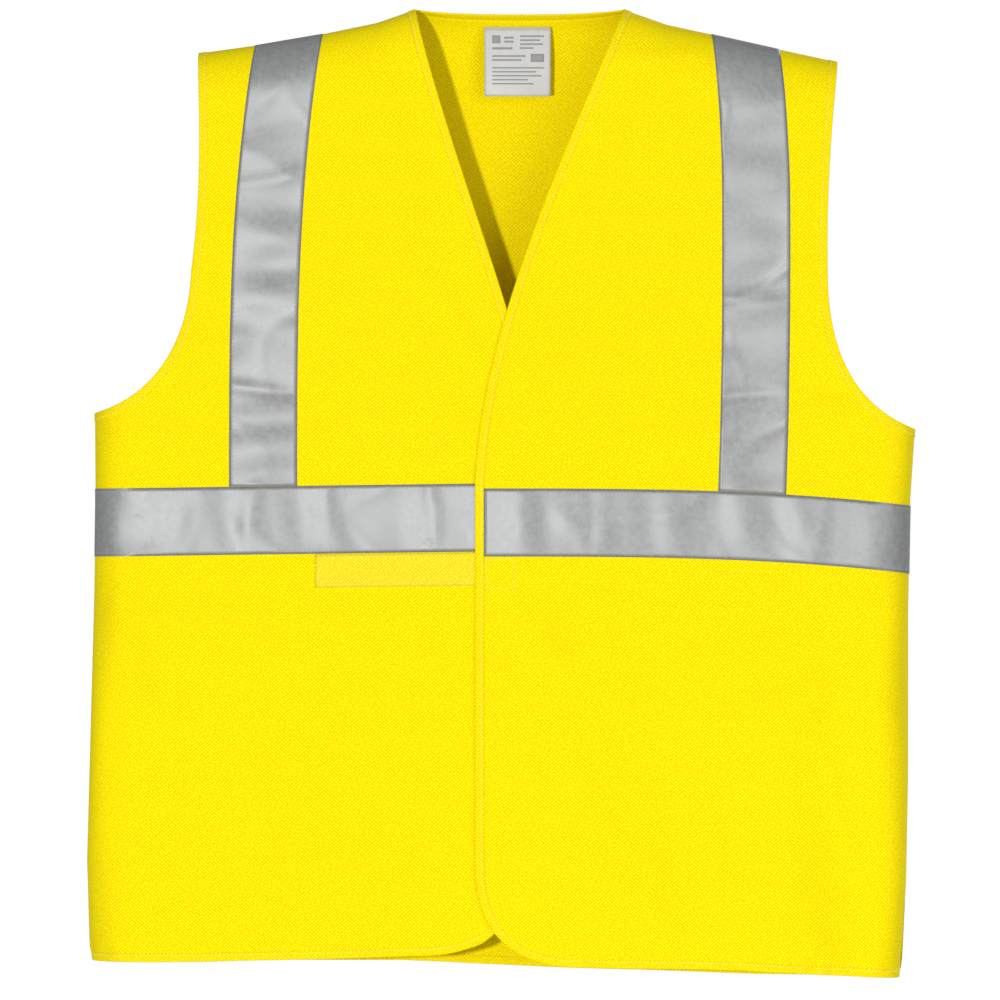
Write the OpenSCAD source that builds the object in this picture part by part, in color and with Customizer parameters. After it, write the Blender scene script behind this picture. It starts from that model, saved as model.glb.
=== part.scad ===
// High visibility vest, worn shape: front towards -Y, +Z up.
// The origin lies between the two shoulder seams, at the height of their neck ends.
// Right and left are the wearer's: the wearer's right side is at -X.

/* [Fabric] */
// Thickness of the knitted fabric
cloth_t = 1; // [0.8:0.1:1.2]
// Radius of the bend at each side seam, to the fabric's inner face
side_r = 28; // [24:1:30]
// Height over which the fabric curves back to the shoulder seams
shoulder_r = 40; // [36:1:46]

/* [Reflective tape] */
// Width of the reflective tape
tape_w = 50; // [48:1:54]
// Thickness of the reflective tape
tape_t = 0.8; // [0.6:0.1:0.9]
// Height of the top edge of the waist tape at the front opening
waist_z = -356; // [-366:1:-350]

/* [Edge binding] */
// Visible width of the folded binding
binding_w = 6; // [5:0.5:7]
// Thickness that the binding adds on each face of the fabric
binding_t = 0.5; // [0.3:0.1:0.6]

/* [Front opening] */
// How far the upper front lies in front of the lower one where they overlap
lap_lift = 4; // [3.8:0.1:4.5]
// Distance from each folding axis to the end of the waist tape on either side of it
fold_gap = 5; // [4:0.5:7]

/* [Touch fastener] */
// Height of the loop and hook strips
strip_h = 25; // [20:1:30]
// Length of the loop strip
loop_l = 144; // [130:1:144]
// Length of the hook strip
hook_l = 24; // [20:1:25]

/* [Care label] */
// Width of the care label
label_w = 50; // [40:1:55]
// Drop of the care label below its seam
label_drop = 51; // [40:1:55]

/* [Thread] */
// Distance of each row of stitches from the edge that it holds
stitch_in = 3; // [2:0.5:4]
// Width of a row of stitches
stitch_w = 0.8; // [0.6:0.1:1]

/* [Hidden] */

FRONT = -1;
BACK = 1;
RIGHT = -1;
LEFT = 1;
EPS = 0.01;
NEARLY = 0.0005;

// Colours
yellow = [1, 0.92, 0.05];
trim = [0.93, 0.85, 0.05];
silver = [0.72, 0.72, 0.7];
grey_thread = [0.55, 0.55, 0.53];
yellow_thread = [0.85, 0.78, 0.1];
white = [0.95, 0.95, 0.93];

// Layers, as distances outside the fabric's inner face
layer_gap = 0.3;
tape_in = cloth_t + layer_gap;
tape_out = tape_in + tape_t;
thread_out = tape_out + layer_gap;
strip_t = 1;
seam_t = 1;

// Outlines, as [x, z] seen from the front. Each curve is a cubic Bezier of four points.
right_neck = [-69, 0];
left_neck = [88, 0];
right_tip = [-232.5, -31.5];
left_tip = [249, -38];
right_pit = [-310, -302];
left_pit = [307, -314];
hem_right = -714;
hem_left = -727;
back_neck_z = -5;

right_armhole_top = [right_tip, [-230, -90], [-230, -145], [-237, -196]];
right_armhole_low = [[-237, -196], [-239, -248], [-264, -290], right_pit];
left_armhole_top = [left_tip, [243, -85], [239, -150], [241, -208]];
left_armhole_low = [[241, -208], [243, -262], [266, -300], left_pit];
right_neckline = [right_neck, [-52, -75], [-12, -180], [6, -245]];
left_neckline = [left_neck, [44, -105], [-18, -235], [-24, -352]];
right_corner = [[6, -660], [6, -690], [-20, -708], [-60, -710]];
left_corner = [[-24, -640], [-24, -690], [0, -714], [45, -718]];

// Side seams as [z, x], hems and shoulder line as [x, z]
right_side = [[hem_right, -312], [-640, -316], [-437, -310.5], [-302, -310]];
left_side = [[hem_left, 295], [-653, 300.5], [-450, 302], [-314, 307]];
front_hem = [[-312, hem_right], [-230, -714], [-60, -710], [45, -718], [172, -720], [295, hem_left]];
back_hem = [[-312, hem_right], [-80, -716], [46, -721], [190, -726], [295, hem_left]];
shoulder_line = [right_tip, right_neck, left_neck, left_tip];

// Folding axes of the two fronts: x at the height of the neck, and x gained per millimetre of z
right_fold_x = -60.8;
right_fold_slope = 0.2167;
left_fold_x = 79.9;
left_fold_slope = -0.1623;
fold_slit = 0.4;
// Curve parameter at which each neckline's moving part starts, right and left
FLAP_START = [0.12, 0.09];

// Steps of the quarter-circle bends, as the part of the radius that each has gone
BEND = [for (a = [0:22.5:90]) 1 - cos(a)];

// Curve parameters of the rows down each armhole
TOP_ROWS = [0, 0.017, 0.067, 0.142, 0.235, 0.5, 0.75, 1];
LOW_ROWS = [0.25, 0.5, 0.68, 0.8, 0.88, 0.95, 1];
SIDE_ROWS = 6;
// How much of the shoulder's slope each armhole row keeps
FADE = [1, 1, 1, 1, 1, 0.85, 0.65, 0.45, 0.33, 0.22, 0.14, 0.09, 0.05, 0.02, 0];

// ---- functions ----

function mix(a, b, t) = a + (b - a)*t;
function smooth(t) = let (u = min(max(t, 0), 1)) u*u*(3 - 2*u);
function rise(u) = let (v = 1 - min(max(u, 0), 1)) sqrt(1 - v*v);
function bezier(p, t) =
    p[0]*pow(1 - t, 3) + p[1]*3*t*pow(1 - t, 2) + p[2]*3*t*t*(1 - t) + p[3]*pow(t, 3);
function reversed(v) = [for (i = [len(v) - 1:-1:0]) v[i]];

// Points moved sideways by w, to the left of the way that the line runs
function beside(line, w) = [for (i = [0:len(line) - 1])
    let (a = line[max(i - 1, 0)], b = line[min(i + 1, len(line) - 1)], d = (b - a)/norm(b - a))
    line[i] + w*[-d[1], d[0]]];

// A point of the garment: p is its place [x, z] seen from the front, h its distance outside the
// fabric's inner face, and face is FRONT or BACK
function on_cloth(p, h, face) =
    let (hand = p[0] > 0 ? LEFT : RIGHT,
        seam_x = lookup(p[1], hand == LEFT ? left_side : right_side),
        s = max(hand*(seam_x - p[0]), 0)/side_r,
        t = max(lookup(p[0], shoulder_line) - p[1], 0)/shoulder_r)
    [p[0] + hand*h*(1 - min(s, 1)),
     face*(side_r + h)*rise(s)*rise(t),
     p[1] + h*(1 - min(t, 1))];
function layer(grid, h, face) = [for (row = grid) [for (p = row) on_cloth(p, h, face)]];

// The upper front stands off the lower one where they overlap, and comes down to it beyond
lift_x = [10, 50];
function lift(x) = lap_lift*min(max((lift_x[1] - x)/(lift_x[1] - lift_x[0]), 0), 1);
function lifted(grid, h) = [for (row = grid) [for (p = row) on_cloth(p, h + lift(p[0]), FRONT)]];

function side_x(hand, z) = lookup(z, hand == LEFT ? left_side : right_side);
function right_fold(z) = right_fold_x + right_fold_slope*z;
function left_fold(z) = left_fold_x + left_fold_slope*z;

// Armhole and side seam of one side, from the shoulder tip to the hem
function armhole(hand) =
    let (top = hand == LEFT ? left_armhole_top : right_armhole_top,
        low = hand == LEFT ? left_armhole_low : right_armhole_low)
    concat([for (t = TOP_ROWS) bezier(top, t)], [for (t = LOW_ROWS) bezier(low, t)]);
function side_seam(hand) =
    let (pit = hand == LEFT ? left_pit : right_pit,
        hem = (hand == LEFT ? hem_left : hem_right) + binding_w,
        line = hand == LEFT ? left_side : right_side)
    [for (i = [1:SIDE_ROWS]) let (z = mix(pit[1], hem, i/SIDE_ROWS)) [lookup(z, line), z]];

// The fabric stops where the armhole binding starts
function cut_armhole(hand) =
    let (line = beside(armhole(hand), hand == LEFT ? -binding_w : binding_w), last = len(line) - 1,
        low = (hand == LEFT ? left_pit : right_pit)[1] - binding_w)
    [for (i = [0:last]) let (p = line[i])
        i == last ? [side_x(hand, low), low] :
        [p[0], i < len(BEND) ? lookup(p[0], shoulder_line) - BEND[i]*shoulder_r : p[1]]];
function panel_edge(hand) = concat(cut_armhole(hand), side_seam(hand));
function fade(i) = i < len(FADE) ? FADE[i] : 0;

// Points from a to b: the first ones follow the bend of the side, then n equal steps
function ruled(a, b, n) = let (d = (b - a)/norm(b - a))
    concat([for (k = BEND) a + d*k*side_r], [for (i = [1:n]) mix(a + d*side_r, b, i/n)]);

// x where the neckline's fabric ends at height z
function neck_cut(hand, z) =
    let (line = beside([for (t = [0:0.1:1]) bezier(hand == LEFT ? left_neckline : right_neckline, t)],
            hand == LEFT ? binding_w : -binding_w))
    lookup(z, [for (p = line) [p[1], p[0]]]);

// Fixed part of one front, from the armhole and side seam to the folding axis
function front_grid(hand) =
    let (edge = panel_edge(hand), last = len(edge) - 1,
        drop = hand == LEFT ? -left_tip[1] : -right_tip[1])
    [for (i = [0:last])
        let (z = i == last ? lookup(hand_fold(hand, edge[i][1]), front_hem) + binding_w :
                i < len(BEND) ? -BEND[i]*shoulder_r : edge[i][1] + fade(i)*drop,
            fold = hand_fold(hand, z) + hand*fold_slit,
            inner = hand == LEFT ? max(fold, neck_cut(LEFT, z)) : min(fold, neck_cut(RIGHT, z)),
            inner_z = i < len(BEND) ? z + lookup(inner, shoulder_line) : z,
            row = ruled(edge[i], [inner, inner_z], 4))
        hand == LEFT ? reversed(row) : row];

// Free edge of one front, from the neck to the hem, and the line where its binding stops
function free_edge(hand) =
    let (neck = hand == LEFT ? left_neckline : right_neckline,
        corner = hand == LEFT ? left_corner : right_corner)
    concat([for (k = [0:10]) bezier(neck, mix(FLAP_START[hand == LEFT ? 1 : 0], 1, k/10))],
        [for (t = [0.25, 0.5, 0.75]) mix(neck[3], corner[0], t)],
        [for (t = [0:0.2:1]) bezier(corner, t)]);
function free_cut(hand) =
    let (rim = free_edge(hand), last = len(rim) - 1,
        line = beside(rim, hand == LEFT ? binding_w : -binding_w))
    [for (i = [0:last]) i == last ? rim[last] + [0, binding_w] : line[i]];
function hand_fold(hand, z) = hand == LEFT ? left_fold(z) : right_fold(z);

// x places across a flap from its free edge to the folding axis, with one at each end of the lift
function flap_columns(hand, edge_x, fold_x) = hand == RIGHT ? [for (k = [0:6]) mix(edge_x, fold_x, k/6)] :
    let (low = max(lift_x[0], edge_x + 1), high = max(lift_x[1], edge_x + 2))
    concat([edge_x, mix(edge_x, low, 0.5), low, high], [for (k = [1:3]) mix(high, fold_x, k/3)]);

// Folding part of one front, from the folding axis to its free edge
function flap_grid(hand) =
    let (cut = free_cut(hand), last = len(cut) - 1)
    [for (i = [0:last])
        let (z = i == last ? lookup(hand_fold(hand, cut[i][1]), front_hem) + binding_w : cut[i][1],
            fold_x = hand_fold(hand, z) - hand*fold_slit,
            xs = flap_columns(hand, cut[i][0], fold_x),
            row = [for (x = xs) [x, i == last ? lookup(x, front_hem) + binding_w :
                mix(cut[i][1], z, (x - cut[i][0])/(fold_x - cut[i][0]))]])
        hand == LEFT ? row : reversed(row)];

// Places from one side seam to the other, close together round both bends
function across_back(a, b) = let (d = (b - a)/norm(b - a), n = 10)
    concat([for (k = BEND) a + d*k*side_r],
        [for (k = [1:n - 1]) mix(a + d*side_r, b - d*side_r, k/n)],
        [for (k = reversed(BEND)) b - d*k*side_r]);
function back_grid() =
    let (right = panel_edge(RIGHT), left = panel_edge(LEFT), last = len(right) - 1)
    [for (i = [0:last])
        let (a = right[i], b = left[i])
        [for (p = across_back(a, b))
            let (chord = mix(a[1], b[1], (p[0] - a[0])/(b[0] - a[0])),
                top = min(lookup(p[0], shoulder_line), p[0] > right_neck[0] && p[0] < left_neck[0] ?
                    back_neck_z - binding_w : 0),
                top_chord = mix(right[0][1], left[0][1], (p[0] - right[0][0])/(left[0][0] - right[0][0])),
                hem = lookup(p[0], back_hem) + binding_w)
            [p[0], i == last ? hem : i < len(BEND) ? top - BEND[i]*shoulder_r :
                chord + fade(i)*(top - top_chord)]]];

// ---- solids ----

// A closed sheet between two grids of points, its inner and its outer face. Rows run down and
// columns to +X on the front; flip turns the faces over.
module sheet(inner, outer, flip = false) {
    rows = len(inner);
    cols = len(inner[0]);
    function at(k, i, j) = (k*rows + i)*cols + j;
    function quad(a, b, c, d) = flip ? [[a, c, b], [a, d, c]] : [[a, b, c], [a, c, d]];
    points = [for (grid = [inner, outer]) for (row = grid) for (p = row) p];
    faces = [
        for (i = [0:rows - 2]) for (j = [0:cols - 2]) each concat(
            quad(at(1, i, j), at(1, i, j + 1), at(1, i + 1, j + 1), at(1, i + 1, j)),
            quad(at(0, i + 1, j), at(0, i + 1, j + 1), at(0, i, j + 1), at(0, i, j))),
        for (j = [0:cols - 2]) each concat(
            quad(at(0, 0, j), at(0, 0, j + 1), at(1, 0, j + 1), at(1, 0, j)),
            quad(at(1, rows - 1, j), at(1, rows - 1, j + 1), at(0, rows - 1, j + 1), at(0, rows - 1, j))),
        for (i = [0:rows - 2]) each concat(
            quad(at(0, i + 1, 0), at(0, i, 0), at(1, i, 0), at(1, i + 1, 0)),
            quad(at(0, i, cols - 1), at(0, i + 1, cols - 1), at(1, i + 1, cols - 1), at(1, i, cols - 1)))];
    polyhedron(points, faces);
}
module cloth(grid, h0, h1, face) {
    sheet(layer(grid, h0, face), layer(grid, h1, face), face == BACK);
}
module lap_cloth(grid, h0, h1) {
    sheet(lifted(grid, h0), lifted(grid, h1));
}

// ---- panels ----

module back_panel() { color(yellow) cloth(back_grid(), 0, cloth_t, BACK); }
module right_front_panel() { color(yellow) cloth(front_grid(RIGHT), 0, cloth_t, FRONT); }
module left_front_panel() { color(yellow) cloth(front_grid(LEFT), 0, cloth_t, FRONT); }
module right_front_flap() { color(yellow) cloth(flap_grid(RIGHT), 0, cloth_t, FRONT); }
module left_front_flap() { color(yellow) lap_cloth(flap_grid(LEFT), 0, cloth_t); }

// ---- reflective tape ----

// Height of the waist tape's top edge: it dips towards the wearer's left
waist_side_z = [waist_z - 4.1, waist_z - 17];
function waist_top(part, x) =
    part == RIGHT ? waist_z + 4.1*x/310 :
    part == LEFT ? waist_z - 4 - 13*pow(max(x + 17, 0)/321, 3) :
    mix(waist_side_z[0], waist_side_z[1], (x + 310)/614);

// x places at height z from a side seam to x1, close together round the bend
function columns(hand, z, x1, n) =
    let (xs = [for (p = ruled([side_x(hand, z), 0], [x1, 0], n)) p[0]])
    hand == LEFT ? reversed(xs) : xs;
// The same from one side seam to the other
function whole_row(z_right, z_left) = concat(columns(RIGHT, z_right, 0, 4),
    [for (i = [1:8]) columns(LEFT, z_left, 0, 4)[i]]);
function even(x0, x1, n) = [for (k = [0:n]) mix(x0, x1, k/n)];

// Rows of a waist piece at distances d0 and d1 below the tape's top edge
ALL_ROUND = 0;
function waist_row(part, xs, d) = [for (x = xs) [x, waist_top(part, x) - d]];
function side_band(hand, x1, d0, d1) = [for (d = [d0, d1])
    waist_row(hand, columns(hand, waist_side_z[hand == LEFT ? 1 : 0] - d, x1, 4), d)];
function back_band(d0, d1) = [for (d = [d0, d1])
    waist_row(ALL_ROUND, whole_row(waist_side_z[0] - d, waist_side_z[1] - d), d)];
function flap_band(hand, xs, d0, d1) = [for (d = [d0, d1]) waist_row(hand, xs, d)];

right_fold_waist = right_fold(waist_z - tape_w/2);
left_fold_waist = left_fold(waist_z - tape_w/2);
right_waist_x = right_fold_waist - fold_gap - fold_slit;
left_waist_x = left_fold_waist + fold_gap;
right_lap_x = 6;
left_lap_x = -24;
right_flap_xs = even(right_fold_waist + fold_gap + fold_slit, right_lap_x - binding_w, 4);
left_flap_xs = flap_columns(LEFT, left_lap_x + binding_w, left_fold_waist - fold_gap);

module back_waist_tape() {
    color(silver) cloth(back_band(0, tape_w), tape_in, tape_out, BACK);
}
module right_waist_tape() {
    color(silver) cloth(side_band(RIGHT, right_waist_x, 0, tape_w), tape_in, tape_out, FRONT);
}
module left_waist_tape() {
    color(silver) cloth(side_band(LEFT, left_waist_x, 0, tape_w), tape_in, tape_out, FRONT);
}
module right_flap_waist_tape() {
    color(silver) cloth(flap_band(RIGHT, right_flap_xs, 0, tape_w), tape_in, tape_out, FRONT);
}
module left_flap_waist_tape() {
    color(silver) lap_cloth(flap_band(LEFT, left_flap_xs, 0, tape_w), tape_in, tape_out);
}

// Two rows of stitches along each waist piece
STITCH_ROWS = [stitch_in, tape_w - stitch_in - stitch_w];
thread_in = tape_out + 5*EPS;
module back_waist_thread() {
    color(grey_thread) for (d = STITCH_ROWS)
        cloth(back_band(d, d + stitch_w), thread_in, thread_out, BACK);
}
module right_waist_thread() {
    color(grey_thread) for (d = STITCH_ROWS)
        cloth(side_band(RIGHT, right_waist_x, d, d + stitch_w), thread_in, thread_out, FRONT);
}
module left_waist_thread() {
    color(grey_thread) for (d = STITCH_ROWS)
        cloth(side_band(LEFT, left_waist_x, d, d + stitch_w), thread_in, thread_out, FRONT);
}
module right_flap_waist_thread() {
    color(grey_thread) for (d = STITCH_ROWS)
        cloth(flap_band(RIGHT, right_flap_xs, d, d + stitch_w), thread_in, thread_out, FRONT);
}
module left_flap_waist_thread() {
    color(grey_thread) for (d = STITCH_ROWS)
        lap_cloth(flap_band(LEFT, left_flap_xs, d, d + stitch_w), thread_in, thread_out);
}

// Middle of each brace: both lean towards the neck as they near the shoulder
function brace_x(hand, z) = hand == LEFT ?
    187 - 7*pow(max(z + 150, 0)/124, 2) - 3*pow(max(-200 - z, 0)/162, 2) :
    -183 + 19*pow((z + 355)/334, 3);
brace_gap = 3; // from the waist tape to the end of a brace
function brace_top(hand) = lookup(brace_x(hand, -25), shoulder_line);

// Rows of a brace strip between offsets d0 and d1 from its middle: up the front, over the
// shoulder and down the back. Each is [place, place, face].
function brace_rows(hand, d0, d1) =
    let (top = brace_top(hand), low_x = brace_x(hand, waist_z),
        foot = max(waist_top(hand, low_x), waist_top(ALL_ROUND, low_x)) + brace_gap,
        bend_z = [for (k = reversed(BEND)) top - k*shoulder_r],
        down = concat([for (k = [0:7]) mix(foot, bend_z[0], k/8)], bend_z),
        across = function (z) let (x = brace_x(hand, z))
            [for (d = [d0, d1]) [x + d, z > top - shoulder_r - 1 ?
                z + lookup(x + d, shoulder_line) - top : z]])
    concat([for (z = down) [across(z), FRONT]],
        [for (i = [len(down) - 2:-1:0]) [across(down[i]), BACK]]);
module brace(hand, d0, d1, h0, h1) {
    rows = brace_rows(hand, d0, d1);
    sheet([for (r = rows) [for (p = r[0]) on_cloth(p, h0, r[1])]],
        [for (r = rows) [for (p = r[0]) on_cloth(p, h1, r[1])]], true);
}
module brace_tape(hand) { color(silver) brace(hand, -tape_w/2, tape_w/2, tape_in, tape_out); }
module brace_thread(hand) {
    edge = tape_w/2 - stitch_in;
    color(grey_thread) for (d = [-edge, edge - stitch_w])
        brace(hand, d, d + stitch_w, thread_in, thread_out);
}
module right_brace_tape() { brace_tape(RIGHT); }
module left_brace_tape() { brace_tape(LEFT); }
module right_brace_thread() { brace_thread(RIGHT); }
module left_brace_thread() { brace_thread(LEFT); }

// ---- edge binding ----

// A binding along rows of [edge point, inner point, face]
module binding_strip(rows, flip) {
    color(trim) sheet([for (r = rows) [for (p = [r[0], r[1]]) on_cloth(p, -binding_t, r[2])]],
        [for (r = rows) [for (p = [r[0], r[1]]) on_cloth(p, cloth_t + binding_t, r[2])]], flip);
}
module armhole_binding(hand) {
    rim = armhole(hand);
    cut = cut_armhole(hand);
    last = len(rim) - 1;
    // The two ends stop just short of each other at the side seam
    end = [mix(rim[last], rim[last - 1], NEARLY), mix(cut[last], cut[last - 1], NEARLY)];
    front = [for (i = [last - 1:-1:0]) [rim[i], cut[i], FRONT]];
    back = [for (i = [1:last - 1]) [rim[i], cut[i], BACK]];
    binding_strip(concat([[end[0], end[1], FRONT]], front, back, [[end[0], end[1], BACK]]),
        hand == RIGHT);
}
module right_armhole_binding() { armhole_binding(RIGHT); }
module left_armhole_binding() { armhole_binding(LEFT); }

// Back neck, with the first stretch down each front
module neck_binding() {
    right_rim = [for (k = [1, 0.5, 0]) bezier(right_neckline, k*(FLAP_START[0] - 0.004))];
    left_rim = [for (k = [0, 0.5, 1]) bezier(left_neckline, k*(FLAP_START[1] - 0.004))];
    middle = (right_neck[0] + left_neck[0])/2;
    half = (left_neck[0] - right_neck[0])/2;
    neck = [for (x = [-62, -50, -30, 0, 30, 60, 75, 82])
        [x, back_neck_z*smooth(1 - pow(abs(x - middle)/half, 4))]];
    function inside(p, w) = [p, [p[0] + w, lookup(p[0] + w, shoulder_line) + p[1]], FRONT];
    front_right = [for (p = right_rim) inside(p, -binding_w)];
    front_left = [for (p = left_rim) inside(p, binding_w)];
    back = [for (p = neck) [p, [p[0] + (p[0] - middle)*0.02, back_neck_z - binding_w], BACK]];
    binding_strip(concat(front_right, back, front_left), true);
}

// A hem binding over rows of x places, at its inner and its outer edge
module hem_strip(rows, line, face) {
    color(trim) cloth([for (k = [0, 1]) [for (x = rows[k]) [x, lookup(x, line) + (1 - k)*binding_w]]],
        -binding_t, cloth_t + binding_t, face);
}
module back_hem_binding() {
    hem_strip([for (d = [binding_w, 0])
            [for (p = across_back([side_x(RIGHT, hem_right + d), hem_right + d],
                    [side_x(LEFT, hem_left + d), hem_left + d])) p[0]]],
        back_hem, BACK);
}
module front_hem_binding(hand) {
    hem = hand == LEFT ? hem_left : hem_right;
    end_x = hand_fold(hand, hem) + 2*hand;
    hem_strip([for (d = [binding_w, 0]) columns(hand, hem + d, end_x, 3)], front_hem, FRONT);
}
module right_hem_binding() { front_hem_binding(RIGHT); }
module left_hem_binding() { front_hem_binding(LEFT); }

// Free edge of one front, on along its hem to the folding axis
module flap_binding(hand) {
    grid = flap_grid(hand);
    foot = grid[len(grid) - 1];
    hem = [for (p = hand == LEFT ? foot : reversed(foot)) [p[0], p[1] - binding_w]];
    line = concat(free_edge(hand), [for (i = [1:len(hem) - 1]) hem[i]]);
    cut = concat(free_cut(hand), [for (i = [1:len(hem) - 1]) hem[i] + [0, binding_w]]);
    rows = [for (i = [0:len(line) - 1]) [line[i], cut[i]]];
    h = function (p) hand == LEFT ? lift(p[0]) : 0;
    color(trim) sheet([for (r = rows) [for (p = r) on_cloth(p, h(p) - binding_t, FRONT)]],
        [for (r = rows) [for (p = r) on_cloth(p, h(p) + cloth_t + binding_t, FRONT)]], hand == RIGHT);
}
module right_flap_binding() { flap_binding(RIGHT); }
module left_flap_binding() { flap_binding(LEFT); }

// ---- seams ----

// Seam allowance of a shoulder, turned down inside the back
SEAM_STEPS = [BEND[1], BEND[2]];
module shoulder_seam(hand) {
    tip = (hand == LEFT ? left_tip[0] : right_tip[0]) - hand*binding_w*1.5;
    neck = (hand == LEFT ? left_neck[0] : right_neck[0]) + hand*binding_w*1.5;
    xs = hand == LEFT ? [neck, tip] : [tip, neck];
    color(trim) cloth([for (k = SEAM_STEPS) [for (x = xs) [x, lookup(x, shoulder_line) - k*shoulder_r]]],
        -seam_t - layer_gap, -layer_gap, BACK);
}
// Seam allowance of a side, turned in towards the back
module side_seam_allowance(hand) {
    edge = panel_edge(hand);
    rows = [for (i = [len(edge) - SIDE_ROWS:len(edge) - 1]) edge[i]];
    color(trim) cloth([for (p = rows) let (row = [for (k = SEAM_STEPS) [p[0] - hand*k*side_r, p[1]]])
            hand == LEFT ? reversed(row) : row],
        -seam_t - layer_gap, -layer_gap, BACK);
}
module right_shoulder_seam() { shoulder_seam(RIGHT); }
module left_shoulder_seam() { shoulder_seam(LEFT); }
module right_side_seam() { side_seam_allowance(RIGHT); }
module left_side_seam() { side_seam_allowance(LEFT); }

// ---- touch fastener ----

strip_gap = 0.5;
strip_top = tape_w + strip_gap;
loop_x = right_lap_x - binding_w - loop_l;
hook_x = left_lap_x + binding_w + 1;
strip_out = cloth_t + EPS + strip_t;

// A patch of a strip: h0 and h1 below the strip's top, w wide
function patch(hand, x, w, d0, d1) = flap_band(hand, [x, x + w], strip_top + d0, strip_top + d1);
// A frame of stitches just inside a strip's edge
module strip_rows(hand, x, w, h0, h1) {
    inset = stitch_in/2;
    color(yellow_thread) {
        for (d = [inset, strip_h - inset - stitch_w])
            cloth(patch(hand, x + inset, w - 2*inset, d, d + stitch_w), h0, h1, FRONT);
        for (px = [x + inset, x + w - inset - stitch_w])
            cloth(patch(hand, px, stitch_w, inset + stitch_w + EPS, strip_h - inset - stitch_w - EPS),
                h0, h1, FRONT);
    }
}
module loop_strip() {
    color(trim) cloth(patch(RIGHT, loop_x, loop_l, 0, strip_h), cloth_t + EPS, strip_out, FRONT);
}
module loop_thread() { strip_rows(RIGHT, loop_x, loop_l, strip_out + EPS, strip_out + 0.2); }
module hook_strip() {
    color(trim) cloth(patch(LEFT, hook_x, hook_l, 0, strip_h),
        lap_lift - strip_t - EPS, lap_lift - EPS, FRONT);
}
module hook_thread() {
    strip_rows(LEFT, hook_x, hook_l, lap_lift + cloth_t + EPS, lap_lift + cloth_t + layer_gap);
}

// ---- care label ----

label_x = 8;
label_top = -11.4;
label_y = 15;
label_t = 0.5;
seam_y = label_y + 0.3;
seam_h = 2.4;
seam_depth = 1.2;
module care_label() {
    color(white) translate([label_x - label_w/2, label_y - label_t, label_top - label_drop])
        cube([label_w, label_t, label_drop - 0.3]);
}
// The label's seam: a folded end held against the back neck
module label_thread() {
    color(white) translate([label_x - label_w/2, seam_y, label_top])
        cube([label_w, seam_depth, seam_h]);
}

back_panel();
right_front_panel();
left_front_panel();
right_front_flap();
left_front_flap();
back_waist_tape();
right_waist_tape();
left_waist_tape();
right_flap_waist_tape();
left_flap_waist_tape();
right_brace_tape();
left_brace_tape();
right_armhole_binding();
left_armhole_binding();
neck_binding();
back_hem_binding();
right_hem_binding();
left_hem_binding();
right_flap_binding();
left_flap_binding();
right_shoulder_seam();
left_shoulder_seam();
right_side_seam();
left_side_seam();
loop_strip();
hook_strip();
care_label();
back_waist_thread();
right_waist_thread();
left_waist_thread();
right_flap_waist_thread();
left_flap_waist_thread();
right_brace_thread();
left_brace_thread();
loop_thread();
hook_thread();
label_thread();
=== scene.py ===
import math

import bpy
import numpy as np
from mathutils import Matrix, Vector


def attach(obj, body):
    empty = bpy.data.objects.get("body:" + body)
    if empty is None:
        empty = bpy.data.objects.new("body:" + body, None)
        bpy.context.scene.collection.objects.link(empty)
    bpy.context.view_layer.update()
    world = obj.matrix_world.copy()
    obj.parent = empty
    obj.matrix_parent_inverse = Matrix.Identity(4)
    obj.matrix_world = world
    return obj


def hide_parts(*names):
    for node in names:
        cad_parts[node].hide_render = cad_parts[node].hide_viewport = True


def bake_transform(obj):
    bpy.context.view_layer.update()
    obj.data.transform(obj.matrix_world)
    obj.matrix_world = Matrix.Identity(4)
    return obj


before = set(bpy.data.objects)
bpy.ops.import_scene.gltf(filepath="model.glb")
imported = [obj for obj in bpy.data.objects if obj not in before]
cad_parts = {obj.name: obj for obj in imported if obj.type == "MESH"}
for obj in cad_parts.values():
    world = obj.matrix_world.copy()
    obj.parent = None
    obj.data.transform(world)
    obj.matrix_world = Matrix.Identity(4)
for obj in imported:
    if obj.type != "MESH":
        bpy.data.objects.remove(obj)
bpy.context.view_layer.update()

MM = 0.001
FRONT, BACK = -1, 1
RIGHT, WHOLE, LEFT = -1, 0, 1  # a front's hand, and the back, which is in one piece
NAME = {RIGHT: "right", LEFT: "left"}

# ---- the garment's design

SIDE_R = 28.0  # bend at each side seam
SIDE_ARC = SIDE_R * math.pi / 2  # length of that bend along the fabric
SHOULDER_R = 40.0  # height over which the fabric curves back to the shoulder seams
SHOULDER_ARC = 54.0  # length of that curve along the fabric
CLOTH_T = 0.5
TAPE_T = 0.35
TAPE_W = 51.0
BIND_W = 6.0
BRACE_GAP = 0.15  # from the waist tape's edge to the end of a brace
LAP_LIFT = 2.4  # how far the upper front stands off the lower one
LAYER = 0.08  # clear gap between two sewn layers
TAPE_IN = CLOTH_T + LAYER  # heights of a tape's inner and outer faces
TAPE_OUT = TAPE_IN + TAPE_T
THREAD_R = 0.24
THREAD_GAP = 0.02  # how high a row of stitches is over what it lies on
STITCH = 2.6
STITCH_PITCH = 3.3
STITCH_IN = 2.6  # from a tape's edge to its stitches
BOUND_IN = 4.9  # from a bound edge to its stitches
STRIP_IN = 1.8  # from a touch fastener's edge to its stitches

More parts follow.
